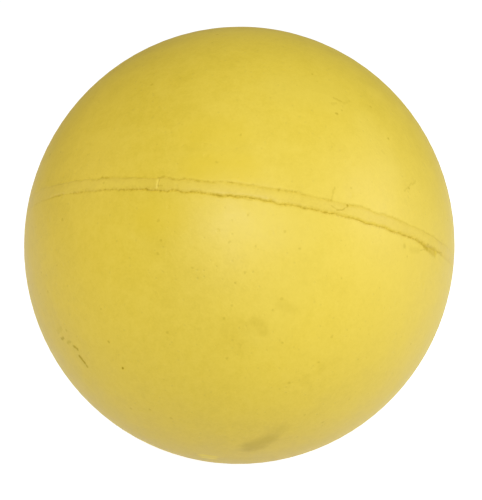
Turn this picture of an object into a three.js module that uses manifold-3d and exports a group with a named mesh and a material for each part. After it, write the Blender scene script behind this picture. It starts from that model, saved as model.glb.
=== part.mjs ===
// A hollow rubber ball, lying on the ground as it came to rest.
// Two moulded half shells are cemented lip to lip at the equator. A narrow rubber strip lies over the
// joint, pressed into the soft rubber of both shells, and its two ends meet in a butt. Inside, the cement
// has squeezed out into a bead, and a pad of soft rubber on the lower pole is the plug through which a
// needle fills the ball with air.
// Millimetres, +Z up. The origin is the middle of the patch that the ball rests on.

import * as THREE from "three";
import { mergeVertices } from "three/addons/utils/BufferGeometryUtils.js";
import Module from "manifold-3d";

// The ball, which is a little longer from pole to pole than it is wide across the seam
const SEAM_DIAMETER = 65;
const POLE_LENGTH = 66.1;
const POLE_WALL = 4;
const LIP_WALL = 5;

// The cement between the lips, and the bead of it that stands inside the ball
const CEMENT_THICKNESS = 0.4;
const BEAD_WIDTH = 2.6;
const BEAD_HEIGHT = 0.9;

// The strip over the joint: it stands a little proud, and its edges wander as it was laid by hand
const STRIP_WIDTH = 1.5;
const STRIP_THICKNESS = 0.9;
const STRIP_PROUD = 0.12;
const STRIP_EDGE_BEVEL = 0.15;
const STRIP_WANDER = 0.1;
const SLOW_WAVES = 5;
const SHORT_WAVES = 19;
const SLOW_SHARE = 0.6;
const STRIP_BUTT_AZIMUTH = THREE.MathUtils.degToRad(-109.3);

// The plug that the needle goes through
const PLUG_DIAMETER = 12;
const PLUG_HEIGHT = 3.2;
const PLUG_EDGE_HEIGHT = 1.4;

// Room for the film that holds each piece to the next
const FILM_GAP = 0.25;

// How the ball lies: the seam's axis leans back and to the right, and the rubber is flat where it rests
const LEAN_BACK = THREE.MathUtils.degToRad(25);
const LEAN_RIGHT = THREE.MathUtils.degToRad(7.47);
const REST_PATCH_RADIUS = 3.2;

// Facets, and how close two heights are that count as one
const SEGMENTS = 72;
const OUTER_RINGS = 16;
const CAVITY_RINGS = 9;
const BEAD_STEPS = 6;
const PLUG_STEPS = 4;
const SAME_HEIGHT = 1e-4;

// Sizes that follow from those
const seamRadius = SEAM_DIAMETER / 2;
const poleRadius = POLE_LENGTH / 2;
const cavitySeamRadius = seamRadius - LIP_WALL;
const cavityPoleRadius = poleRadius - POLE_WALL;
const lipHeight = CEMENT_THICKNESS / 2 + FILM_GAP;
const imprintHeight = STRIP_WIDTH / 2 + FILM_GAP;
const stripInnerRadius = seamRadius + STRIP_PROUD - STRIP_THICKNESS;
const imprintRadius = stripInnerRadius - FILM_GAP;

// Finishes: the shells' yellow, the paler strip, the amber cement and the brown plug
const SHELL_FINISH = { color: 0xe8cf57, roughness: 0.6, metalness: 0 };
const STRIP_FINISH = { color: 0xead565, roughness: 0.65, metalness: 0 };
const CEMENT_FINISH = { color: 0xb98f3e, roughness: 0.45, metalness: 0 };
const PLUG_FINISH = { color: 0x8a6a3c, roughness: 0.75, metalness: 0 };

const wasm = await Module();
wasm.setup();

// Radius, at a height above the seam, of a spheroid about the seam's axis
function spheroidRadius(equator, pole, height) {
  return equator * Math.sqrt(1 - (height / pole) ** 2);
}

// Points of a spheroid's meridian, as [radius, height], between two angles from its pole
function meridian(equator, pole, from, to, steps) {
  return Array.from({ length: steps + 1 }, (_, i) => {
    const angle = from + ((to - from) * i) / steps;
    return [equator * Math.sin(angle), pole * Math.cos(angle)];
  });
}

// A profile of [radius, height] points turned about the Z axis
function revolve(profile) {
  const points = profile.map(([radius, height]) => new THREE.Vector2(radius, height));
  return new THREE.LatheGeometry(points, SEGMENTS).rotateX(Math.PI / 2);
}

// How far an edge of the strip strays from its place: slow waves, and shorter ones on top of them.
// The two edges, above and below the seam, stray each in their own way.
function edgeWander(azimuth, side) {
  const slow = Math.sin(SLOW_WAVES * azimuth + side);
  const short = Math.sin(SHORT_WAVES * azimuth + side);
  return STRIP_WANDER * (SLOW_SHARE * slow + (1 - SLOW_SHARE) * short);
}

// Moves the points of a turned shape up or down with the edge of the strip on their side of the seam,
// each by its share of the way that the edge strays
function followStripEdge(geometry, share) {
  const position = geometry.getAttribute("position");
  const point = new THREE.Vector3();
  for (let i = 0; i < position.count; i++) {
    point.fromBufferAttribute(position, i);
    const side = Math.sign(point.z);
    const shift = share(point) * edgeWander(Math.atan2(point.y, point.x), side);
    position.setZ(i, point.z + shift);
  }
  return geometry;
}

// A closed geometry as a solid that can be cut
function solidOf(geometry) {
  const bare = geometry.clone();
  bare.deleteAttribute("normal");
  bare.deleteAttribute("uv");
  const merged = mergeVertices(bare);
  return new wasm.Manifold(
    new wasm.Mesh({
      numProp: 3,
      vertProperties: merged.getAttribute("position").array,
      triVerts: new Uint32Array(merged.index.array),
    }),
  );
}

// A cut solid as a geometry again
function geometryOf(solid) {
  const mesh = solid.getMesh();
  const geometry = new THREE.BufferGeometry();
  geometry.setAttribute("position", new THREE.BufferAttribute(mesh.vertProperties, 3));
  geometry.setIndex(new THREE.BufferAttribute(mesh.triVerts, 1));
  geometry.computeVertexNormals();
  return geometry;
}

// The attitude of the ball at rest, and how far its centre then is above the ground.
// The flat that it rests on is cut that much closer to the centre than the round surface would reach.
const attitude = new THREE.Quaternion().setFromEuler(new THREE.Euler(-LEAN_BACK, LEAN_RIGHT, 0));
const down = new THREE.Vector3(0, 0, -1).applyQuaternion(attitude.clone().invert());
const roundReach = Math.hypot(seamRadius * Math.hypot(down.x, down.y), poleRadius * down.z);
const centreHeight = Math.sqrt(roundReach ** 2 - REST_PATCH_RADIUS ** 2);

// Half of the ball, above the seam: outside, imprint of the strip, lip, and back along the cavity
function halfShellProfile() {
  const rimAngle = Math.acos(imprintHeight / poleRadius);
  const outside = meridian(seamRadius, poleRadius, 0, rimAngle, OUTER_RINGS);
  const lip = [
    [imprintRadius, imprintHeight],
    [imprintRadius, lipHeight],
  ];
  const lipAngle = Math.acos(lipHeight / cavityPoleRadius);
  const cavity = meridian(cavitySeamRadius, cavityPoleRadius, lipAngle, 0, CAVITY_RINGS);
  return [...outside, ...lip, ...cavity];
}

// In a half shell only the rim of the imprint moves with the strip's edge
function imprintRim(point) {
  return Math.abs(Math.abs(point.z) - imprintHeight) < SAME_HEIGHT ? 1 : 0;
}

function upperHalfShell() {
  return followStripEdge(revolve(halfShellProfile().reverse()), imprintRim);
}

function lowerHalfShell() {
  const mirrored = halfShellProfile().map(([radius, height]) => [radius, -height]);
  const shell = followStripEdge(revolve(mirrored), imprintRim);
  const ground = new THREE.BoxGeometry(SEAM_DIAMETER, SEAM_DIAMETER, seamRadius);
  ground.translate(0, 0, -centreHeight - seamRadius / 2);
  ground.applyQuaternion(attitude.clone().invert());
  return geometryOf(solidOf(shell).subtract(solidOf(ground)));
}

// The cement: a thin web between the lips, and a rounded bead inside the ball
function bondRing() {
  const halfWeb = CEMENT_THICKNESS / 2;
  const beadBase = cavitySeamRadius - FILM_GAP;
  const bead = Array.from({ length: BEAD_STEPS + 1 }, (_, i) => {
    const angle = (Math.PI * i) / BEAD_STEPS;
    return [beadBase - BEAD_HEIGHT * Math.sin(angle), (BEAD_WIDTH / 2) * Math.cos(angle)];
  });
  const web = [
    [beadBase, -halfWeb],
    [imprintRadius, -halfWeb],
    [imprintRadius, halfWeb],
    [beadBase, halfWeb],
  ];
  return revolve([...web, ...bead, web[0]]);
}

// The strip: its outside follows the round of the ball, its upper corners are bevelled, and a thin cut
// parts its two ends
function seamStrip() {
  const edge = STRIP_WIDTH / 2;
  const shoulder = edge - STRIP_EDGE_BEVEL;
  const outside = (height) => spheroidRadius(seamRadius, poleRadius, height) + STRIP_PROUD;
  const bevelled = outside(edge) - STRIP_EDGE_BEVEL;
  const section = [
    [stripInnerRadius, -edge],
    [bevelled, -edge],
    [outside(shoulder), -shoulder],
    [outside(0), 0],
    [outside(shoulder), shoulder],
    [bevelled, edge],
    [stripInnerRadius, edge],
  ];
  const ring = revolve([...section, section[0]]);
  followStripEdge(ring, (point) => Math.abs(point.z) / edge);
  const cut = new THREE.BoxGeometry(2 * STRIP_THICKNESS, FILM_GAP, 2 * STRIP_WIDTH);
  cut.translate(seamRadius, 0, 0);
  cut.rotateZ(STRIP_BUTT_AZIMUTH);
  return geometryOf(solidOf(ring).subtract(solidOf(cut)));
}

// The plug: a domed pad whose foot follows the cavity at the lower pole
function inflationPlug() {
  const seat = cavityPoleRadius - FILM_GAP;
  const seatAngle = Math.asin(PLUG_DIAMETER / 2 / (cavitySeamRadius - FILM_GAP));
  const foot = meridian(cavitySeamRadius - FILM_GAP, seat, 0, seatAngle, PLUG_STEPS);
  const edgeTop = foot.at(-1)[1] - PLUG_EDGE_HEIGHT;
  const crown = Array.from({ length: PLUG_STEPS + 1 }, (_, i) => {
    const angle = ((Math.PI / 2) * i) / PLUG_STEPS;
    const top = seat - PLUG_HEIGHT;
    return [(PLUG_DIAMETER / 2) * Math.cos(angle), edgeTop + (top - edgeTop) * Math.sin(angle)];
  });
  return revolve([...foot, ...crown].map(([radius, height]) => [radius, -height]));
}

function piece(name, geometry, finish) {
  const mesh = new THREE.Mesh(geometry, new THREE.MeshStandardMaterial(finish));
  mesh.name = name;
  return mesh;
}

const ball = new THREE.Group();
ball.add(
  piece("upper_half_shell", upperHalfShell(), SHELL_FINISH),
  piece("lower_half_shell", lowerHalfShell(), SHELL_FINISH),
  piece("bond_ring", bondRing(), CEMENT_FINISH),
  piece("seam_strip", seamStrip(), STRIP_FINISH),
  piece("inflation_plug", inflationPlug(), PLUG_FINISH),
);
ball.quaternion.copy(attitude);
ball.position.z = centreHeight;

const part = new THREE.Group();
part.add(ball);

export default part;
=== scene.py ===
from math import cos, hypot, pi, radians, sin, sqrt

import bpy
import numpy as np
from mathutils import Matrix


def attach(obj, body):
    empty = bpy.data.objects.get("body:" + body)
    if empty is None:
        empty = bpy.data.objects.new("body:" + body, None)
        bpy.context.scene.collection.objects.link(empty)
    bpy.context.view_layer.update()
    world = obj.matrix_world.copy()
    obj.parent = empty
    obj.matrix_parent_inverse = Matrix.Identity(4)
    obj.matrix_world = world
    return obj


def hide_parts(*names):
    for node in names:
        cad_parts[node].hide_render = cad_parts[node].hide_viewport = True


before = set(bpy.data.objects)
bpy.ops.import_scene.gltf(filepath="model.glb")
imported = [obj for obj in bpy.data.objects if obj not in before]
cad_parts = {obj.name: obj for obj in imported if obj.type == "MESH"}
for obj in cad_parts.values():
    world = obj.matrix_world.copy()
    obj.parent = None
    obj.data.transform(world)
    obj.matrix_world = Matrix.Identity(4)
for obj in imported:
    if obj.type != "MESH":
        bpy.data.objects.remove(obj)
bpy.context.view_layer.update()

# Camera: a long lens a hand's span from the middle of the ball, a little above it and looking along +Y.
# The ball lies as the photograph shows it, with the seam's axis leaning back and to the right, and it
# rests on a small flat where the rubber gives way.
MM = 0.001
SEAM_RADIUS = 32.5 * MM
POLE_RADIUS = 33.05 * MM
LEAN_BACK = radians(25)
LEAN_RIGHT = radians(7.47)
REST_PATCH_RADIUS = 3.2 * MM
IMAGE_WIDTH = 482
IMAGE_HEIGHT = 500
BALL_COLUMN = 239.3
BALL_ROW = 245.1
CAMERA_ELEVATION = radians(12.45)
CAMERA_DISTANCE = 216.7 * MM
NEAREST_SEEN = 10 * MM
SENSOR = 36
LENS = 102.2

attitude = np.array(Matrix.Rotation(-LEAN_BACK, 3, "X") @ Matrix.Rotation(LEAN_RIGHT, 3, "Y"))
ground_normal = attitude[2]
round_reach = hypot(SEAM_RADIUS * hypot(*ground_normal[:2]), POLE_RADIUS * ground_normal[2])
centre = np.array([0, 0, sqrt(round_reach ** 2 - REST_PATCH_RADIUS ** 2)])
to_camera = np.array([0, -cos(CAMERA_ELEVATION), sin(CAMERA_ELEVATION)])
image_right = np.array([1, 0, 0])
image_up = np.array([0, sin(CAMERA_ELEVATION), cos(CAMERA_ELEVATION)])

lens_data = bpy.data.cameras.new("camera")
lens_data.sensor_width = SENSOR
lens_data.lens = LENS
lens_data.shift_x = (IMAGE_WIDTH / 2 - BALL_COLUMN) / IMAGE_HEIGHT
lens_data.shift_y = (BALL_ROW - IMAGE_HEIGHT / 2) / IMAGE_HEIGHT
lens_data.clip_start = NEAREST_SEEN
camera = bpy.data.objects.new("camera", lens_data)
camera.location = centre + CAMERA_DISTANCE * to_camera
camera.rotation_euler = (pi / 2 - CAMERA_ELEVATION, 0, 0)
bpy.context.scene.collection.objects.link(camera)
bpy.context.scene.camera = camera

# Lower half shell: half of the hollow ball, moulded in yellow rubber about 4 mm thick.
# It carries the weight on its flat, its lip is cemented to the upper shell's, and its rim has the imprint
# of the strip that lies over the joint. Use has left it scuffed, and torn beside the strip at the right.
POLE_WALL = 4 * MM
LIP_WALL = 5 * MM
CEMENT_THICKNESS = 0.4 * MM
STRIP_THICKNESS = 0.9 * MM
STRIP_PROUD = 0.12 * MM
FILM_GAP = 0.25 * MM
SEAM_LINE_HEIGHT = 0.865 * MM
UPPER_RISE = 0.07 * MM
UPPER_WAVE = 0.07 * MM
UPPER_WAVE_TURN = radians(195)
LOWER_WAVE = 0.04 * MM
LOWER_WAVE_TURN = radians(245)
RAISED_BY = 0.15 * MM
STEP_HEIGHT = 0.11 * MM
FRAY_HEIGHT = 0.05 * MM
SHUT_CREVICE = 0.004 * MM
OPEN_CREVICE = 0.03 * MM
SHUT_GROOVE = 0.008 * MM
OPEN_GROOVE = 0.055 * MM
GROOVE_WIDTH = 0.4 * MM
# Grime and painted crease shade reach this far from the edge of a groove.
SOIL_AND_SHADE_WIDTH = 0.3 * MM
UPPER_GAPE = 0.2, 0.75
LOWER_GAPE = 0.1, 0.85
OPEN_GAPE = 0.85, 1.1
WEAK_LOSS = 0.65
FLUSH_LOSS = 0.75
# Stretches of the seam, each from one azimuth to another with a soft angle beyond either end.
RAISED_STRETCH = radians(-152), radians(-138), radians(14)
OPEN_STRETCH = radians(-118), radians(-43), radians(18)
NOTCH_STRETCH = radians(-81), radians(-81), radians(0.8)
WEAK_STRETCH = radians(-43), radians(-15), radians(10)
FLUSH_LEFT = radians(-178), radians(-148), radians(8)
FLUSH_RIGHT = radians(-19), radians(8), radians(9)
# Ripples, each with its number of places round the ball, its random seed and its flat share.
STEPS = 130, 11, 0.6
FRAYS = 250, 21, 0.4
FINE_FRAYS = 580, 31, 0
BROKEN_PIECES = 110, 41, 0.3
FRAYED_GAPES = 580, 51, 0
TORN_FLOOR = 300, 61, 0
TEAR_LINE = [(419, 241.5), (425, 246), (434.5, 252)]
TEAR_WIDTH = 1 * MM
TEAR_DEPTH = 0.11 * MM
AROUND = 1740
DOME_ROWS = 24
RIM_ROWS = 18
RIM_BAND = 2.3 * MM
RIM_CROWDING = 1.6
WALL_ROWS = 3
CAVITY_ROWS = 10
lip_height = CEMENT_THICKNESS / 2 + FILM_GAP
imprint_radius = SEAM_RADIUS + STRIP_PROUD - STRIP_THICKNESS - FILM_GAP


def ripple(azimuth, kind, side=0):
    """Random heights from -1 to 1 at evenly spaced places round the ball, joined by straight slopes. Half
    of the flat share of each step is at either end. The side of the seam is added to the seed."""
    count, seed, flat = kind
    heights = np.random.default_rng(seed + side).uniform(-1, 1, count)
    place = np.mod(azimuth / (2 * pi), 1) * count
    before = np.floor(place).astype(int)
    share = np.clip((place - before - flat / 2) / (1 - flat), 0, 1)
    return heights[before % count] * (1 - share) + heights[(before + 1) % count] * share


def stretch(azimuth, start, end, soft):
    """1 along the seam from one azimuth to another, falling to 0 over a soft angle beyond either end."""
    away = np.abs(np.mod(azimuth - (start + end) / 2 + pi, 2 * pi) - pi) - (end - start) / 2
    return 1 - np.clip(away / soft, 0, 1)


def flush(azimuth):
    """1 where the strip is pressed in flush with the shells, past the left and the right of the view."""
    return np.maximum(stretch(azimuth, *FLUSH_LEFT), stretch(azimuth, *FLUSH_RIGHT))


def between(low, high, share):
    """A share of the way from a low value to a high one."""
    return low + (high - low) * share


def seam_line(azimuth, side):
    """Height above or below the seam of the line between strip and shell: a slow cosine wave, with random
    steps and two sizes of random fine tears. The upper line is raised at the left of the view."""
    if side > 0:
        wave = UPPER_RISE + UPPER_WAVE * np.cos(3 * azimuth + UPPER_WAVE_TURN)
        slow = wave + RAISED_BY * stretch(azimuth, *RAISED_STRETCH)
    else:
        slow = -LOWER_WAVE * np.cos(2 * azimuth + LOWER_WAVE_TURN)
    stepped = STEP_HEIGHT * ripple(azimuth, STEPS, side)
    torn = FRAY_HEIGHT * (ripple(azimuth, FRAYS, side) + ripple(azimuth, FINE_FRAYS, side))
    return SEAM_LINE_HEIGHT + slow + stepped + torn


def seam_gape(azimuth, side):
    """How far that line gapes, from 0 to about 1, in broken pieces with frayed edges, both random. Below
    the strip it is open over the middle and right of the view. Above the strip it opens less, least at the
    right, but for one notch. Where the strip is flush it loses three quarters of its gape."""
    broken = np.clip(0.55 + 0.9 * ripple(azimuth, BROKEN_PIECES, side), 0, 1)
    frayed = 0.75 + 0.25 * ripple(azimuth, FRAYED_GAPES, side)
    if side > 0:
        weaker = 1 - WEAK_LOSS * stretch(azimuth, *WEAK_STRETCH)
        gape = np.maximum(between(*UPPER_GAPE, broken) * weaker, stretch(azimuth, *NOTCH_STRETCH))
    else:
        open_piece = between(*OPEN_GAPE, broken) * stretch(azimuth, *OPEN_STRETCH)
        gape = np.maximum(between(*LOWER_GAPE, broken), open_piece)
    return gape * frayed * (1 - FLUSH_LOSS * flush(azimuth))


def in_place(points):
    """Points in the ball's own axes, with the seam level and the centre at nought, turned and moved to how
    and where the ball lies."""
    return points @ attitude.T + centre


def on_ball(column, row, lift=0.0):
    """The point of the ball, or of one a little larger, that shows at a pixel of the photograph: where a
    ray from the camera meets the spheroid, the nearer root of a quadratic in the way along the ray."""
    focal = LENS / SENSOR * IMAGE_HEIGHT
    across = (column + 0.5 - BALL_COLUMN) * image_right
    ray = across - (row + 0.5 - BALL_ROW) * image_up - focal * to_camera
    squeeze = np.array([SEAM_RADIUS, SEAM_RADIUS, POLE_RADIUS]) + lift
    start = CAMERA_DISTANCE * to_camera @ attitude / squeeze
    way = ray @ attitude / squeeze
    square = way @ way
    linear = 2 * start @ way
    constant = start @ start - 1
    reach = (-linear - sqrt(max(linear ** 2 - 4 * square * constant, 0))) / (2 * square)
    return CAMERA_DISTANCE * to_camera + reach * ray + centre


def turned(radius, height, azimuth):
    """Points at a radius and a height, swung round the seam's axis."""
    radius, height, azimuth = np.broadcast_arrays(radius, height, azimuth)
    return np.stack([radius * np.cos(azimuth), radius * np.sin(azimuth), height], -1)


def tear_depth(points):
    """How deep the torn place beside the strip goes at each point: a round-bottomed trench along a bent
    line, with a ragged floor. Points are given in place."""
    line = [on_ball(*pixel) for pixel in TEAR_LINE]
    away = np.inf
    for start, end in zip(line, line[1:]):
        span = end - start
        along = np.clip((points - start) @ span / (span @ span), 0, 1)
        away = np.minimum(away, np.linalg.norm(points - start - along[..., None] * span, axis=-1))
    ragged = 0.75 + 0.25 * ripple(points[..., 0] / SEAM_RADIUS, TORN_FLOOR)
    return TEAR_DEPTH * ragged * np.clip(1 - (2 * away / TEAR_WIDTH) ** 2, 0, 1)


def soiled_and_shaded(to_edge, gape):
    """How much grime and painted crease shade lies at a distance from the edge of a groove: less with the
    distance, and more where the groove gapes."""
    return np.clip(1 - to_edge / SOIL_AND_SHADE_WIDTH, 0, 1) * gape


def half_shell_rows(side):
    """Rows of points from the outer pole of a half shell to its inner pole, and how much grime and painted
    crease shade each point has.
    The outside is a spheroid whose rows crowd toward the rim. There it rolls over into the groove, goes
    down to the imprint of the strip and in to the lip, and comes back along the cavity, a smaller spheroid.
    The ball is flat where it rests: no point is below the floor."""
    azimuth = np.linspace(-pi, pi, AROUND, endpoint=False)[None, :]
    gape = seam_gape(azimuth, side)
    rim = seam_line(azimuth, side) + between(SHUT_CREVICE, OPEN_CREVICE, gape) / 2
    rim_angle = np.arccos(rim / POLE_RADIUS)
    band = RIM_BAND / SEAM_RADIUS
    dome = (rim_angle - band) * np.linspace(0, 1, DOME_ROWS, endpoint=False)[:, None]
    near_rim = rim_angle - band * np.linspace(1, 0, RIM_ROWS + 1)[:, None] ** RIM_CROWDING
    angle = np.concatenate([dome, near_rim])
    to_rim = (rim_angle - angle) * SEAM_RADIUS
    smooth = turned(SEAM_RADIUS * np.sin(angle), side * POLE_RADIUS * np.cos(angle), azimuth)
    groove = between(SHUT_GROOVE, OPEN_GROOVE, gape) * np.clip(1 - to_rim / GROOVE_WIDTH, 0, 1) ** 2
    outside = smooth * (1 - (groove + tear_depth(in_place(smooth))) / SEAM_RADIUS)[..., None]
    down = np.linspace(0, 1, WALL_ROWS + 1)[1:, None]
    edge_radius = np.linalg.norm(outside[-1:, :, :2], axis=-1)
    edge_height = outside[-1:, :, 2]
    wall = turned(between(edge_radius, imprint_radius, down), edge_height, azimuth)
    lip = turned(imprint_radius, side * lip_height, azimuth)
    cavity_pole = POLE_RADIUS - POLE_WALL
    back = np.arccos(lip_height / cavity_pole) * np.linspace(1, 0, CAVITY_ROWS + 1)[:, None]
    cavity = turned((SEAM_RADIUS - LIP_WALL) * np.sin(back), side * cavity_pole * np.cos(back), azimuth)
    rows = in_place(np.concatenate([outside, wall, lip, cavity]))
    rows[..., 2] = np.maximum(rows[..., 2], 0)
    soil_and_shade = np.zeros(rows.shape[:2])
    soil_and_shade[:len(angle)] = soiled_and_shaded(to_rim, gape)
    return rows, soil_and_shade


def skin(name, grid, soil_and_shade=None, ring=False):
    """A closed mesh over rows of points whose columns run all the way round. The rows join up into a ring,
    or else the first and last row are each one point. The faces look outward: the volume that they enclose
    is positive. How much grime and painted crease shade the points have goes into the mesh as an attribute."""
    rows, columns, _ = grid.shape
    index = np.arange(rows * columns).reshape(rows, columns)
    if ring:
        points = grid.reshape(-1, 3)
        index = np.vstack([index, index[:1]])
    else:
        points = np.concatenate([grid[0, :1], grid[1:-1].reshape(-1, 3), grid[-1, :1]])
        index = np.clip(index - (columns - 1), 0, len(points) - 1)
    beside = np.roll(index, -1, axis=1)
    quads = np.stack([index[:-1], beside[:-1], beside[1:], index[1:]], -1).reshape(-1, 4)
    first, second, third, fourth = (points[quads[:, corner]] for corner in range(4))
    volume = np.sum(np.cross(first, second) * third) + np.sum(np.cross(first, third) * fourth)
    faces = quads.tolist()
    if not ring:
        faces[:columns] = [face[1:] for face in faces[:columns]]
        faces[-columns:] = [face[:3] for face in faces[-columns:]]
    mesh = bpy.data.meshes.new(name)
    mesh.from_pydata(points, [], faces)
    if volume < 0:
        mesh.flip_normals()
    mesh.shade_smooth()
    if soil_and_shade is not None:
        spread = np.concatenate([soil_and_shade[0, :1], soil_and_shade[1:-1].ravel(), soil_and_shade[-1, :1]])
        mesh.attributes.new("soil_and_shade", "FLOAT", "POINT").data.foreach_set("value", spread)
    piece = bpy.data.objects.new(name, mesh)
    bpy.context.scene.collection.objects.link(piece)
    return piece


class Socket:
    """An output in a material's node tree. Arithmetic adds Math nodes, and node() adds any other node."""

    def __init__(self, tree, output=None):
        self.tree = tree
        self.output = output

    def node(self, kind, settings, inputs, output=0):
        made = self.tree.nodes.new(kind)
        for name, value in settings.items():
            setattr(made, name, value)
        for name, value in inputs.items():
            if isinstance(value, Socket):
                self.tree.links.new(value.output, made.inputs[name])
            else:
                made.inputs[name].default_value = value
        return Socket(self.tree, made.outputs[output])

    def math(self, operation, first, second):
        return self.node("ShaderNodeMath", {"operation": operation}, {0: first, 1: second})

    def larger(self, other):
        return self.math("MAXIMUM", self, other)

    def __add__(self, other):
        return self.math("ADD", self, other)

    def __radd__(self, other):
        return self.math("ADD", other, self)

    def __sub__(self, other):
        return self.math("SUBTRACT", self, other)

    def __rsub__(self, other):
        return self.math("SUBTRACT", other, self)

    def __mul__(self, other):
        return self.math("MULTIPLY", self, other)

    def __rmul__(self, other):
        return self.math("MULTIPLY", other, self)


def noise(place, size, detail, output=0):
    """Cloudy noise from 0 to 1 whose features are about as large as the size given, or a vector of it."""
    inputs = {"Vector": place, "Scale": 1 / size, "Detail": detail}
    return place.node("ShaderNodeTexNoise", {}, inputs, output)


def vector(operation, first, second, output="Vector"):
    """A vector worked out from two vectors, or from a vector and a scale, or a value worked out so."""
    maker = first if isinstance(first, Socket) else second
    named = "Scale" if operation == "SCALE" else 1
    return maker.node("ShaderNodeVectorMath", {"operation": operation}, {0: first, named: second}, output)


def fade(value, near, far):
    """1 up to a near value and 0 from a far one, with an S-shaped slope between."""
    ends = {"Value": value, "From Min": near, "From Max": far, "To Min": 1.0, "To Max": 0.0}
    return value.node("ShaderNodeMapRange", {"interpolation_type": "SMOOTHSTEP"}, ends)


def blend(share, first, second):
    """A share of the way from one colour to another."""
    return share.node("ShaderNodeMix", {"data_type": "RGBA"}, {0: share, 6: first, 7: second}, 2)


def pocks(place, spacing, size):
    """Scattered round spots, no two alike: one near the middle of each random cell, from a faint trace to
    one of about the size given."""
    cells = {"Vector": place, "Scale": 1 / spacing}
    away = place.node("ShaderNodeTexVoronoi", {}, cells, "Distance")
    number = place.node("ShaderNodeTexVoronoi", {}, cells, "Color")
    reach = vector("DOT_PRODUCT", number, (size / spacing, 0, 0), "Value")
    return fade(away - reach, -0.35 * size / spacing, 0.15 * size / spacing)


def streak(place, start, end, width, lift=0.0):
    """A soft mark along a straight line between two pixels of the photograph: how near each place lies to
    the line, from 1 along it to 0 at two thirds of the width. Both ends may be the same pixel."""
    first = on_ball(*start, lift)
    span = on_ball(*end, lift) - first
    offset = vector("SUBTRACT", place, first)
    if span.any():
        along = vector("DOT_PRODUCT", offset, span / (span @ span), "Value")
        held = along.node("ShaderNodeClamp", {}, {"Value": along})
        offset = vector("SUBTRACT", offset, vector("SCALE", span, held))
    away = vector("LENGTH", offset, (0, 0, 0), "Value")
    return fade(away, 0.1 * width, 0.65 * width)


def strongest(place, marks, lift=0.0):
    """The strongest of several streaks, each with its ends, its width in millimetres and its strength."""
    together = None
    for start, end, width, strength in marks:
        mark = strength * streak(place, start, end, width * MM, lift)
        together = together.larger(mark) if together else mark
    return together


WOBBLE_SIZE = 0.6 * MM
WOBBLE_REACH = 0.45 * MM
CLOUD_SIZE = 14 * MM
BLOTCH_SIZE = 3 * MM
DENT_SIZE = 0.9 * MM
GRAIN_SIZE = 0.3 * MM
PIT_SPACING = 0.9 * MM
PIT_SIZE = 0.2 * MM
DIMPLE_SPACING = 2.2 * MM
DIMPLE_SIZE = 0.4 * MM
FLECK_SPACING = 3 * MM
FLECK_SIZE = 0.3 * MM
FLECK_STRENGTH = 0.23
CRUMB_SIZE = 0.35 * MM
GRAIN_DEPTH = 0.05 * MM
YELLOW = (0.80, 0.607, 0.027)
# The next yellow is paler: the rubber's bloom where it is mixed in at random, and painted highlight in the
# first pale patch.
BLOOM_AND_HIGHLIGHT_YELLOW = (0.83, 0.657, 0.075)
# The next yellow is laid where the front lamp's highlight spreads too wide: painted light that narrows it.
HIGHLIGHT_TRIM_YELLOW = (0.80, 0.60, 0.004)
BRIGHT_YELLOW = (0.95, 0.76, 0.002)
BROWN_DIRT_AND_SHADE = (0.45, 0.30, 0.005)
GREY_DIRT = (0.37, 0.285, 0.02)


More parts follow.
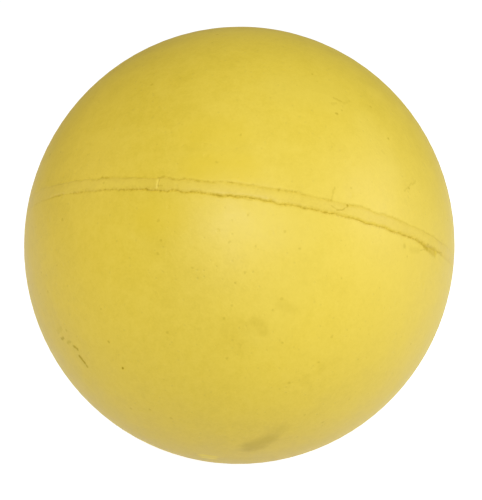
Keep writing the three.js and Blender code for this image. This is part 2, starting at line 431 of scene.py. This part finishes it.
def worn_rubber(name, colour, find_marks):
    """Matt moulded rubber with a faint bloom: cloudy in tone, finely grained, dented and pitted. Coloured
    marks are mixed into its colour, some of them painted highlight, and grime lies over it as a dull
    surface of its own, with painted shade where it lies in the seam's creases and in the tear."""
    material = bpy.data.materials.new(name)
    material.use_nodes = True
    tree = material.node_tree
    shader = tree.nodes["Principled BSDF"]
    place = Socket(tree).node("ShaderNodeTexCoord", {}, {}, "Object")
    wobble = vector("SUBTRACT", noise(place, WOBBLE_SIZE, 2, "Color"), (0.5, 0.5, 0.5))
    ragged = vector("ADD", place, vector("SCALE", wobble, WOBBLE_REACH))
    clouds = noise(place, CLOUD_SIZE, 3)
    blotches = noise(place, BLOTCH_SIZE, 3)
    dents = noise(place, DENT_SIZE, 2)
    grain = noise(place, GRAIN_SIZE, 2)
    pits = pocks(place, PIT_SPACING, PIT_SIZE)
    dimples = pocks(place, DIMPLE_SPACING, DIMPLE_SIZE)
    flecks = pocks(place, FLECK_SPACING, FLECK_SIZE)
    tone = 0.815 + 0.1 * clouds + 0.09 * blotches + 0.08 * dents + 0.1 * grain - 0.06 * pits
    bloom = 0.55 * (blotches + dents + grain) - 0.67
    surface = blend(bloom, vector("SCALE", colour, tone), (*BLOOM_AND_HIGHLIGHT_YELLOW, 1))
    stains_and_painted_light, dirt_and_shade = find_marks(ragged, clouds, fade(blotches, 0.4, 0.6))
    for overlay_colour, overlay_share in stains_and_painted_light:
        surface = blend(overlay_share, surface, (*overlay_colour, 1))
    tree.links.new(surface.output, shader.inputs["Base Color"])
    rough = 0.42 + 0.16 * blotches + 0.08 * grain
    tree.links.new(rough.output, shader.inputs["Roughness"])
    depth = 0.25 * grain + 0.6 * dents + 0.5 * blotches - 0.4 * pits - 0.5 * dimples
    bump = depth.node("ShaderNodeBump", {}, {"Strength": 0.8, "Distance": GRAIN_DEPTH, "Height": depth})
    tree.links.new(bump.output, shader.inputs["Normal"])
    shader.inputs["Specular IOR Level"].default_value = 0.8
    shader.inputs["Sheen Weight"].default_value = 0.07
    shader.inputs["Sheen Roughness"].default_value = 0.4
    # The attribute read here is grime and painted crease shade along the seam's grooves.
    soil_and_shade = place.node("ShaderNodeAttribute", {"attribute_name": "soil_and_shade"}, {}, "Fac")
    crumbs = 0.15 + 0.5 * fade(noise(place, CRUMB_SIZE, 2), 0.4, 0.6)
    cover = dirt_and_shade.larger(soil_and_shade * crumbs).larger(FLECK_STRENGTH * flecks)
    # The dull brown layer is grime, and painted shade where it lies along the seam's creases, on the strip
    # above its lower line and in the tear.
    dull = {"Base Color": (*BROWN_DIRT_AND_SHADE, 1), "Roughness": 0.9, "Specular IOR Level": 0.0}
    dirty_and_shaded = place.node("ShaderNodeBsdfPrincipled", {}, dull)
    layers = {0: cover, 1: Socket(tree, shader.outputs[0]), 2: dirty_and_shaded}
    covered = cover.node("ShaderNodeMixShader", {}, layers)
    tree.links.new(covered.output, tree.nodes["Material Output"].inputs["Surface"])
    return material


# Marks, placed by the pixels of the photograph. Specks are listed by their strength and have one width. All
# other marks have two ends, a width and a strength. Widths are in millimetres.
SPECK_WIDTH = 0.46
SPECKS = {1: [(122, 367.5)],
          0.45: [(336, 113), (388, 138), (408.5, 187.5), (235, 282.5), (108, 341.5)],
          0.27: [(312, 73.5), (370, 106), (240.5, 134.5), (216.5, 161.5), (247.5, 215), (157.5, 220),
                 (431, 236), (160.5, 239.5), (229.5, 241.5), (255.5, 245.5), (299.5, 248.5), (157, 253.5),
                 (191.5, 267.5), (244.5, 272), (272.5, 309), (223.5, 318.5), (331, 336.5), (281.5, 342),
                 (410.5, 343.5), (226.5, 357.5), (318.5, 361.5), (288.5, 382.5), (322, 422)]}
NOTCH_SPECKS = {0.45: [(278.5, 189.5), (331, 199.5)]}
SEAM_DIRT = [((123, 177.3), (141, 177.3), 0.4, 0.2), ((239.5, 184), (242.5, 184), 0.4, 0.2),
             ((246, 184.3), (253, 184.6), 0.4, 0.28), ((258, 187), (270, 187.6), 0.4, 0.12),
             ((302, 208), (307, 208.4), 0.4, 0.3), ((336, 214.8), (336.5, 215), 0.45, 0.35),
             ((348, 217), (348.5, 217.2), 0.45, 0.5), ((244, 197.8), (251, 199.6), 0.4, 0.22)]
SCRATCHES = [((79.3, 356), (84.6, 363), 0.55, 0.72), ((83.5, 361.5), (86.8, 366), 0.45, 0.5),
             ((73.3, 345.8), (76.8, 348.6), 0.55, 0.6), ((61, 338.3), (63.2, 337.2), 0.45, 0.48),
             ((67, 342.5), (69.5, 341), 0.6, 0.27), ((57, 331), (61, 328), 0.9, 0.11),
             ((334, 187), (331, 199), 0.35, 0.22), ((404, 190), (411, 183), 0.35, 0.17),
             ((334, 97.6), (340.5, 101), 0.5, 0.22), ((331.5, 103.3), (335.5, 102.6), 0.5, 0.13),
             ((343, 102.3), (349, 100.6), 0.6, 0.11), ((412, 184), (415, 181), 0.4, 0.18)]
# The tear's dark marks are grime in it, and also painted shade that darkens the shallow trench.
TORN = [((417, 240.5), (421.5, 242.5), 0.6, 0.28), ((421.5, 242.5), (425, 246.3), 0.6, 0.46),
        ((423.5, 245), (427.2, 248.2), 0.85, 0.57), ((427, 244), (428, 244.6), 0.5, 0.36),
        ((425, 246.3), (431, 251.5), 0.6, 0.38), ((429.5, 249), (434, 252), 1.5, 0.3),
        ((431, 252.5), (434, 254), 1, 0.28), ((420, 249.7), (424.5, 248.8), 0.3, 0.28),
        ((436, 252), (441, 252.4), 0.3, 0.3), ((404, 245), (404, 246), 0.75, 0.25),
        ((441.5, 240), (441.5, 244), 0.4, 0.14), ((411, 249.5), (418, 249.5), 1.2, 0.13)]
SMUDGES = [((242, 317.5), (254, 320), 2.2, 0.18), ((256, 322), (263, 330), 2, 0.17),
           ((272, 303), (290, 308), 2.4, 0.11), ((308, 378), (318, 366), 2.6, 0.09),
           ((236, 338), (246, 332), 6, 0.07)]
DIRT_PATCH = [((250, 445.5), (268, 439), 3.2, 0.38), ((255, 442.5), (271, 436.5), 2.8, 0.3),
              ((248, 448.5), (259, 446), 2.7, 0.33), ((268, 438), (281, 428.5), 2.8, 0.15)]
# A brighter, more saturated yellow spot at the bottom edge of the view.
BRIGHT_SPOT = [((202, 455), (213, 456.3), 1.6, 0.9), ((204, 457), (212, 458), 1.6, 0.9)]
# Painted light: a more saturated yellow above the seam and left of the highlight, narrowing the front
# lamp's highlight.
HIGHLIGHT_TRIMS = [((202, 169), (238, 169), 7, 0.65), ((200, 136), (230, 136), 7, 0.35),
         ((150, 217), (168, 217), 6, 0.4)]
# Paler patches. The first, below the seam in the middle of the view, is a painted highlight spreading the
# front lamp's gloss.
PALE_PATCHES_AND_HIGHLIGHT = [((225, 219), (300, 232), 8, 0.35), ((285, 88), (330, 95), 8, 0.3),
         ((265, 330), (310, 265), 8, 0.22), ((365, 125), (388, 165), 6, 0.3)]
# A paler yellow round a place at the right of the view, fading with distance and clouded.
PALE_RIGHT_MIDDLE = (430, 235)
PALE_RIGHT_NEAR = 8 * MM
PALE_RIGHT_FAR = 40 * MM
PATCH_SHARE = 0.5


def spots(specks):
    """Specks as streaks that start and end at one pixel."""
    placed = [(pixel, strength) for strength, pixels in specks.items() for pixel in pixels]
    return [(pixel, pixel, SPECK_WIDTH, strength) for pixel, strength in placed]


def shell_marks(ragged, clouds, patchy):
    """The shells' coloured marks, each with its colour, and their grime. Of the coloured marks, the
    highlight trims and the first pale patch are painted light. The grey patch at the bottom of the view is
    half coloured mark, half grime.
    """
    pale_right_distance = vector("DISTANCE", ragged, on_ball(*PALE_RIGHT_MIDDLE), "Value")
    pale_right = fade(pale_right_distance, PALE_RIGHT_NEAR, PALE_RIGHT_FAR) * (0.1 + 0.4 * clouds)
    patch = PATCH_SHARE * strongest(ragged, DIRT_PATCH)
    stains_and_painted_light = [(BLOOM_AND_HIGHLIGHT_YELLOW, pale_right), (HIGHLIGHT_TRIM_YELLOW, strongest(ragged, HIGHLIGHT_TRIMS)),
              (BLOOM_AND_HIGHLIGHT_YELLOW, strongest(ragged, PALE_PATCHES_AND_HIGHLIGHT)), (BRIGHT_YELLOW, strongest(ragged, BRIGHT_SPOT)),
              (GREY_DIRT, patch)]
    smudges = strongest(ragged, SMUDGES) * patchy
    sharp_marks = spots(SPECKS) + spots(NOTCH_SPECKS) + SEAM_DIRT + SCRATCHES + TORN
    return stains_and_painted_light, smudges.larger(patch).larger(strongest(ragged, sharp_marks))


lower_shell = skin("lower_shell", *half_shell_rows(-1))
shell_rubber = worn_rubber("moulded_yellow", YELLOW, shell_marks)
lower_shell.data.materials.append(shell_rubber)
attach(lower_shell, "root")
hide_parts("lower_half_shell")

# Inflation plug: a domed pad of soft brown rubber, cured onto the inside of the lower shell at its pole.
# A needle goes through the shell and the pad to fill the ball, and the pad closes up again behind it.
PLUG_RADIUS = 6 * MM
PLUG_HEIGHT = 3.2 * MM
PLUG_EDGE_HEIGHT = 1.4 * MM
PLUG_EDGE_POWER = 0.8
PLUG_AROUND = 192
PLUG_FOOT_ROWS = 10
PLUG_CROWN_ROWS = 28
PLUG_BROWN = (0.26, 0.15, 0.045)
PLUG_BLOOM = (0.36, 0.24, 0.10)
PLUG_CLOUD_SIZE = 2.5 * MM
PLUG_ROUGHNESS = 0.7
FINISH_DEPTH = 0.1 * MM


def plug_rows():
    """Rows from the middle of the foot to the middle of the crown. The foot follows the cavity, a
    spheroid, a film's gap off it. The side goes straight in, and the crown is a flat superellipse with a
    soft edge."""
    azimuth = np.linspace(-pi, pi, PLUG_AROUND, endpoint=False)[None, :]
    seat_radius = SEAM_RADIUS - LIP_WALL - FILM_GAP
    seat_pole = POLE_RADIUS - POLE_WALL - FILM_GAP
    foot_angle = np.arcsin(PLUG_RADIUS / seat_radius) * np.linspace(0, 1, PLUG_FOOT_ROWS)[:, None]
    foot = turned(seat_radius * np.sin(foot_angle), -seat_pole * np.cos(foot_angle), azimuth)
    edge = seat_pole * np.cos(foot_angle[-1]) - PLUG_EDGE_HEIGHT
    rise = np.linspace(0, pi / 2, PLUG_CROWN_ROWS)[:, None]
    crown_height = between(edge, seat_pole - PLUG_HEIGHT, np.sin(rise))
    crown = turned(PLUG_RADIUS * np.cos(rise) ** PLUG_EDGE_POWER, -crown_height, azimuth)
    return in_place(np.concatenate([foot, crown]))


def soft_finish(name, colour, bloom, cloud_size, least_roughness):
    """A plain soft finish: one colour clouded with another, and a fine uneven surface."""
    material = bpy.data.materials.new(name)
    material.use_nodes = True
    tree = material.node_tree
    shader = tree.nodes["Principled BSDF"]
    place = Socket(tree).node("ShaderNodeTexCoord", {}, {}, "Object")
    clouds = noise(place, cloud_size, 4)
    grain = noise(place, GRAIN_SIZE, 2)
    tint = blend(fade(clouds, 0.4, 0.62), (*colour, 1), (*bloom, 1))
    tree.links.new(vector("SCALE", tint, 0.9 + 0.2 * grain).output, shader.inputs["Base Color"])
    tree.links.new((least_roughness + 0.15 * clouds).output, shader.inputs["Roughness"])
    depth = 0.7 * clouds + 0.3 * grain
    bump = depth.node("ShaderNodeBump", {}, {"Strength": 0.6, "Distance": FINISH_DEPTH, "Height": depth})
    tree.links.new(bump.output, shader.inputs["Normal"])
    return material


plug = skin("plug", plug_rows())
plug_finish = soft_finish("plug_brown", PLUG_BROWN, PLUG_BLOOM, PLUG_CLOUD_SIZE, PLUG_ROUGHNESS)
plug.data.materials.append(plug_finish)
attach(plug, "root")
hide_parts("inflation_plug")

# Bond ring: the rubber cement between the two lips, a thin amber web as wide as the wall.
# What was squeezed out as the halves were pressed together has set inside the ball as an uneven bead.
BEAD_WIDTH = 2.6 * MM
BEAD_HEIGHT = 0.9 * MM
BEAD_STEPS = 18
BEAD_SWELLS = 70, 81, 0
BEAD_LUMPS = 200, 82, 0
CEMENT_AROUND = 720
AMBER = (0.48, 0.27, 0.05)
PALE_AMBER = (0.62, 0.42, 0.13)
AMBER_CLOUD_SIZE = 4 * MM
AMBER_ROUGHNESS = 0.35


def bond_rows():
    """The section of the ring, point after point, each swung all the way round: the web's four corners,
    and half an ellipse for the bead, whose height swells and shrinks at random round the ball."""
    azimuth = np.linspace(-pi, pi, CEMENT_AROUND, endpoint=False)[None, :]
    base = SEAM_RADIUS - LIP_WALL - FILM_GAP
    half_web = CEMENT_THICKNESS / 2
    web_radius = np.array([base, imprint_radius, imprint_radius, base])[:, None]
    web_height = np.array([-half_web, -half_web, half_web, half_web])[:, None]
    swing = np.linspace(0, pi, BEAD_STEPS)[:, None]
    uneven = 0.85 + 0.1 * ripple(azimuth, BEAD_SWELLS) + 0.05 * ripple(azimuth, BEAD_LUMPS)
    bead = turned(base - BEAD_HEIGHT * uneven * np.sin(swing), BEAD_WIDTH / 2 * np.cos(swing), azimuth)
    return in_place(np.concatenate([turned(web_radius, web_height, azimuth), bead]))


bond = skin("bond", bond_rows(), ring=True)
bond_finish = soft_finish("amber_cement", AMBER, PALE_AMBER, AMBER_CLOUD_SIZE, AMBER_ROUGHNESS)
bond.data.materials.append(bond_finish)
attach(bond, "root")
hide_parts("bond_ring")

# Upper half shell: the same moulding as the lower one, turned over and set on it lip to lip.
# It is the same yellow rubber, held by the cement between the lips and by the strip round the outside.
upper_shell = skin("upper_shell", *half_shell_rows(1))
upper_shell.data.materials.append(shell_rubber)
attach(upper_shell, "root")
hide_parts("upper_half_shell")

# Seam strip: a narrow ribbon of the same rubber, laid over the joint and pressed down into both shells.
# Its lower edge stands a little higher than its upper one, and its two ends meet at the left of the view,
# where one of them stands above the other.
STRIP_BUTT = radians(-109.3)
STRIP_END_GAP = 0.02 * MM
STRIP_LENGTH_STEPS = 1741
STRIP_CROWN_STEPS = 26
SIDES_AND_FOOT = [(1, 0.4), (1, 1), (0.5, 1), (-0.5, 1), (-1, 1), (-1, 0.4)]
EDGE_PROUD = 0.06 * MM
EDGE_TILT = 0.04 * MM
CROWN_HEIGHT = 0.05 * MM
END_SWELL = 0.1 * MM
END_SWELL_LENGTH = 5 * MM
END_BEVEL = 0.3 * MM
LUMP_HEIGHT = 0.015 * MM
UPPER_LUMPS = 130, 71, 0
LOWER_LUMPS = 150, 72, 0
# Painted shadow: a darker band on the strip above its lower line, stronger where that line gapes.
PAINTED_EDGE_SHADE = 0.35
PAINTED_EDGE_SHADE_WIDTH = 0.8 * MM
STRIP_YELLOW = (0.785, 0.59, 0.036)
# The next yellow is for painted highlights on the strip.
HIGHLIGHT_YELLOW = (0.86, 0.68, 0.06)
MARK_LIFT = 0.1 * MM
HAIRLINES = [((331, 205), (336, 209), 0.3, 0.26), ((336, 209), (343, 209.2), 0.28, 0.48),
             ((343, 209.2), (346.8, 205.2), 0.28, 0.46), ((346.8, 205), (346.9, 204.6), 0.45, 0.78),
             ((347, 204), (348.5, 202), 0.32, 0.45), ((157, 185.2), (162, 185.5), 0.25, 0.28)]
# A faint darkening over the strip at the right of the view.
FAINT_DARKENING = [((348, 207), (398, 227), 3.4, 0.055)]
# Painted highlights: a pale stripe at the strip's raised end by the butt, and a pale band along its crown
# at the left of the view.
PAINTED_HIGHLIGHTS = [((157.2, 178), (157.8, 187), 0.5, 0.65), ((98, 187), (142, 184.5), 1.3, 0.3)]


def strip_rows():
    """Sections of the strip, one after the other along its length, drawn into a point at either end, and
    how much grime and painted shade each point has: grime and painted crease shade at both grooves, and a
    painted shadow on the strip above its lower line. A section is a crown between the two seam lines, a
    flat parabola that rolls over into the grooves, with straight sides and a straight foot. Either edge is
    lumpy in its own way."""
    along = np.linspace(0, 1, STRIP_LENGTH_STEPS)[:, None]
    end_angle = STRIP_END_GAP / 2 / SEAM_RADIUS
    azimuth = STRIP_BUTT + end_angle + along * 2 * (pi - end_angle)
    upper_gape = seam_gape(azimuth, 1)
    lower_gape = seam_gape(azimuth, -1)
    top = seam_line(azimuth, 1) - between(SHUT_CREVICE, OPEN_CREVICE, upper_gape) / 2
    bottom = -seam_line(azimuth, -1) + between(SHUT_CREVICE, OPEN_CREVICE, lower_gape) / 2
    crown = -np.cos(np.linspace(0, pi, STRIP_CROWN_STEPS))
    sides_across, sides_deep = np.array(SIDES_AND_FOOT).T
    across = np.concatenate([crown, sides_across])[None, :]
    deep = np.concatenate([0 * crown, sides_deep])[None, :] * STRIP_THICKNESS
    half_width = (top - bottom) / 2
    height = (top + bottom) / 2 + half_width * across
    from_end = (1 - along) * 2 * pi * SEAM_RADIUS
    bevel = np.clip(from_end / END_BEVEL, 0, 1)
    swell = END_SWELL * bevel * np.clip(1 - from_end / END_SWELL_LENGTH, 0, 1)
    uneven = (1 + across) * ripple(azimuth, UPPER_LUMPS) + (1 - across) * ripple(azimuth, LOWER_LUMPS)
    rounded = EDGE_PROUD - EDGE_TILT * across + CROWN_HEIGHT * (1 - across ** 2)
    proud = (rounded + swell + LUMP_HEIGHT * uneven) * (1 - flush(azimuth))
    smooth_radius = SEAM_RADIUS * np.sqrt(1 - (height / POLE_RADIUS) ** 2) + proud
    torn = tear_depth(in_place(turned(smooth_radius, height, azimuth)))
    gape = np.where(across > 0, upper_gape, lower_gape)
    groove = between(SHUT_GROOVE, OPEN_GROOVE, gape)
    from_edge = half_width * (1 - np.abs(across))
    rolled = np.clip(1 - from_edge / GROOVE_WIDTH, 0, 1) ** 2
    sections = turned(smooth_radius - np.maximum((groove + proud) * rolled + torn, deep), height, azimuth)
    ends = sections[[0, -1]].mean(1, keepdims=True) + 0 * sections[[0, -1]]
    # Painted shadow along the strip's lower edge.
    painted_edge_shade = PAINTED_EDGE_SHADE * lower_gape * np.clip(1 - from_edge / PAINTED_EDGE_SHADE_WIDTH, 0, 1) * (across < 0)
    soil_and_shade = np.pad(np.maximum(soiled_and_shaded(from_edge, gape), painted_edge_shade), ((1, 1), (0, 0)))
    return in_place(np.concatenate([ends[:1], sections, ends[1:]])), soil_and_shade


def strip_marks(ragged, clouds, patchy):
    """The strip's coloured marks, each with its colour, and its grime. The pale streaks among them are
    painted highlights.
    """
    stains_and_painted_light = [(BLOOM_AND_HIGHLIGHT_YELLOW, 0.3 * clouds), (HIGHLIGHT_YELLOW, strongest(ragged, PAINTED_HIGHLIGHTS, MARK_LIFT))]
    dirt_and_shade = HAIRLINES + FAINT_DARKENING + SEAM_DIRT + TORN + spots(NOTCH_SPECKS)
    return stains_and_painted_light, strongest(ragged, dirt_and_shade, MARK_LIFT)


strip = skin("strip", *strip_rows())
strip.data.materials.append(worn_rubber("strip_yellow", STRIP_YELLOW, strip_marks))
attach(strip, "root")
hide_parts("seam_strip")

# Floor: a plain pale sheet that reaches past the view.
# It looks almost white, and lights the ball no more than any pale sheet under these lamps.
FLOOR_SIZE = 12
FLOOR_WHITE = 0.6
FLOOR_LIFT = 0.93
half_floor = FLOOR_SIZE / 2
floor_corners = [(x * half_floor, y * half_floor, 0) for x, y in ((-1, -1), (1, -1), (1, 1), (-1, 1))]
floor_mesh = bpy.data.meshes.new("floor")
floor_mesh.from_pydata(floor_corners, [], [(0, 1, 2, 3)])
floor = bpy.data.objects.new("floor", floor_mesh)
bpy.context.scene.collection.objects.link(floor)
floor_material = bpy.data.materials.new("floor_white")
floor_material.use_nodes = True
floor_material.cycles.emission_sampling = "NONE"
floor_shader = floor_material.node_tree.nodes["Principled BSDF"]
floor_shader.inputs["Base Color"].default_value = (FLOOR_WHITE, FLOOR_WHITE, FLOOR_WHITE, 1)
floor_shader.inputs["Roughness"].default_value = 0.9
floor_shader.inputs["Emission Strength"].default_value = FLOOR_LIFT
lit_by_it = Socket(floor_material.node_tree).node("ShaderNodeLightPath", {}, {}, "Is Diffuse Ray")
floor_material.node_tree.links.new((1 - lit_by_it).output, floor_shader.inputs["Emission Color"])
floor.data.materials.append(floor_material)

# Light: a soft lamp above the camera, a large, faintly warm one at the right, a weak warm one at the
# left, one overhead and a dim pale room. Each lamp has its azimuth from the camera, its elevation, its
# width and height in metres, its power and its tint, and all are a metre from the ball.
NEUTRAL = (1, 1, 1)
WARM = (1, 0.8, 0.5)
PALE_WARM = (1, 0.975, 0.95)
LAMPS = {"front": (0, 23, 0.4, 0.4, 5.24, NEUTRAL), "right": (75, 20, 0.5, 0.6, 4, PALE_WARM),
         "left": (-90, 25, 0.6, 0.6, 1.88, WARM), "overhead": (0, 80, 0.8, 0.8, 1.09, NEUTRAL)}
LAMP_DISTANCE = 1
ROOM_LIGHT = 0.151
for lamp_name, (lamp_azimuth, lamp_elevation, width, height, power, tint) in LAMPS.items():
    lamp_data = bpy.data.lights.new(lamp_name, "AREA")
    lamp_data.shape = "ELLIPSE"
    lamp_data.size = width
    lamp_data.size_y = height
    lamp_data.energy = power
    lamp_data.color = tint
    lamp = bpy.data.objects.new(lamp_name, lamp_data)
    lamp.rotation_euler = (pi / 2 - radians(lamp_elevation), 0, radians(lamp_azimuth))
    lamp.location = centre + LAMP_DISTANCE * np.array(lamp.rotation_euler.to_matrix().col[2])
    bpy.context.scene.collection.objects.link(lamp)
room = bpy.data.worlds.new("room")
room.use_nodes = True
room.node_tree.nodes["Background"].inputs["Color"].default_value = (1, 1, 1, 1)
room.node_tree.nodes["Background"].inputs["Strength"].default_value = ROOM_LIGHT
bpy.context.scene.world = room
bpy.context.scene.view_settings.view_transform = "Standard"
